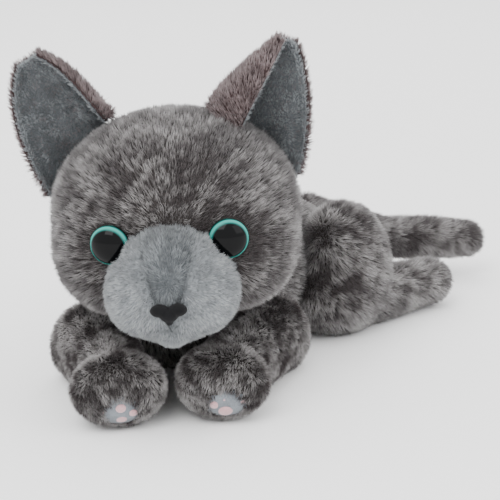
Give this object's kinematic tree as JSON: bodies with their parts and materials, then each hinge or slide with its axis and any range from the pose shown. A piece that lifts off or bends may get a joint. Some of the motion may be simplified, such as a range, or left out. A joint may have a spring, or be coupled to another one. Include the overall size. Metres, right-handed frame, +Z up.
{
  "type": "plush cat",
  "caption": "Stuffed toy cat lying on its belly, forelegs under the chin and tail curled to its left, with a turning, nodding head, floppy ears, swinging legs and a bending tail",
  "frame": {"origin": "the middle of the flat patch of belly that the toy rests on", "axes": "+Z up; the cat looks along -Y; its own left, where the tail lies, is +X"},
  "size_m": [0.3029, 0.3355, 0.2025],
  "materials": {
    "body_fur": "long frosted pile",
    "belly_fur": "long frosted pile",
    "head_fur": "long frosted pile",
    "crown_fur": "long frosted pile",
    "leg_fur": "long frosted pile",
    "tail_fur": "long frosted pile",
    "ear_fur": "short brown-grey pile",
    "ear_plush": "short blue-grey plush",
    "neck_cloth": "woven backing",
    "bridge_plush": "short blue-grey plush",
    "cheek_plush": "short pale blue-grey plush",
    "nose_velour": "black velour",
    "eye_lens": "clear domed plastic over black",
    "eye_iris": "teal plastic",
    "eye_shank": "moulded",
    "eye_washer": "moulded",
    "sole_plush": "short pale blue-grey plush",
    "pad_velour": "pink velour",
    "stuffing": "polyester fibre fill",
    "bag_cloth": "non-woven cloth",
    "pellets": "loose pellets"
  },
  "bodies": {
    "torso": {"torso_back_cover": "body_fur", "torso_belly_cover": "belly_fur", "torso_stuffing": "stuffing", "pellet_bag_cloth": "bag_cloth", "pellet_fill": "pellets"},
    "neck": {"neck_gusset": "neck_cloth"},
    "head": {"head_left_cover": "head_fur", "head_right_cover": "head_fur", "head_crown_cover": "crown_fur", "head_stuffing": "stuffing", "muzzle_bridge_cover": "bridge_plush", "muzzle_left_cover": "cheek_plush", "muzzle_right_cover": "cheek_plush", "muzzle_stuffing": "stuffing", "chin_cover": "cheek_plush", "nose": "nose_velour", "eye_left_lens": "eye_lens", "eye_left_iris": "eye_iris", "eye_left_shank": "eye_shank", "eye_left_washer": "eye_washer", "eye_right_lens": "eye_lens", "eye_right_iris": "eye_iris", "eye_right_shank": "eye_shank", "eye_right_washer": "eye_washer"},
    "ear_left": {"ear_left_back": "ear_fur", "ear_left_lining": "ear_plush"},
    "foreleg_left": {"foreleg_left_cover": "leg_fur", "foreleg_left_stuffing": "stuffing", "paw_left_sole": "sole_plush", "paw_left_pads": "pad_velour"},
    "hind_leg_left": {"haunch_left_cover": "body_fur", "haunch_left_stuffing": "stuffing", "foot_left_cover": "leg_fur", "foot_left_stuffing": "stuffing", "foot_left_sole": "sole_plush", "foot_left_pads": "pad_velour"},
    "ear_right": {"ear_right_back": "ear_fur", "ear_right_lining": "ear_plush"},
    "foreleg_right": {"foreleg_right_cover": "leg_fur", "foreleg_right_stuffing": "stuffing", "paw_right_sole": "sole_plush", "paw_right_pads": "pad_velour"},
    "hind_leg_right": {"haunch_right_cover": "body_fur", "haunch_right_stuffing": "stuffing", "foot_right_cover": "leg_fur", "foot_right_stuffing": "stuffing", "foot_right_sole": "sole_plush", "foot_right_pads": "pad_velour"},
    "tail_base": {"tail_base_cover": "tail_fur", "tail_base_stuffing": "stuffing"},
    "tail_end": {"tail_end_cover": "tail_fur", "tail_end_stuffing": "stuffing"}
  },
  "joints": [
    {"name": "head_turn", "type": "hinge", "parent": "torso", "child": "neck", "pos_m": [-0.0434, -0.09951, 0.107], "axis": [0, 0, 1], "range_deg": [-15, 15]},
    {"name": "head_nod", "type": "hinge", "parent": "neck", "child": "head", "pos_m": [-0.0434, -0.09951, 0.107], "axis": [-0.9939, 0.1045, -0.0347], "range_deg": [0, 15]},
    {"name": "ear_left_flop", "type": "hinge", "parent": "head", "child": "ear_left", "pos_m": [0.00963, -0.09416, 0.1449], "axis": [0.8009, -0.082, -0.5931], "range_deg": [-15, 15], "stiffness_Nm_per_rad": 0.05},
    {"name": "ear_right_flop", "type": "hinge", "parent": "head", "child": "ear_right", "pos_m": [-0.10289, -0.08232, 0.13944], "axis": [0.639, -0.0699, 0.7661], "range_deg": [-15, 15], "stiffness_Nm_per_rad": 0.05},
    {"name": "foreleg_left_swing", "type": "hinge", "parent": "torso", "child": "foreleg_left", "pos_m": [0.0071, -0.06951, 0.02], "axis": [0, 0, 1], "range_deg": [0, 35]},
    {"name": "foreleg_right_swing", "type": "hinge", "parent": "torso", "child": "foreleg_right", "pos_m": [-0.0939, -0.06951, 0.02], "axis": [0, 0, -1], "range_deg": [0, 35]},
    {"name": "hind_leg_left_swing", "type": "hinge", "parent": "torso", "child": "hind_leg_left", "pos_m": [0.06163, -0.00425, 0.04], "axis": [0, 0, -1], "range_deg": [0, 30]},
    {"name": "hind_leg_right_swing", "type": "hinge", "parent": "torso", "child": "hind_leg_right", "pos_m": [-0.02895, 0.05457, 0.04], "axis": [0, 0, 1], "range_deg": [0, 30]},
    {"name": "tail_swing", "type": "hinge", "parent": "torso", "child": "tail_base", "pos_m": [0.04602, 0.07087, 0.056], "axis": [0, 0, 1], "range_deg": [-5, 60]},
    {"name": "tail_bend", "type": "hinge", "parent": "tail_base", "child": "tail_end", "pos_m": [0.09808, 0.0919, 0.03217], "axis": [0, 0, 1], "range_deg": [-25, 25]}
  ]
}
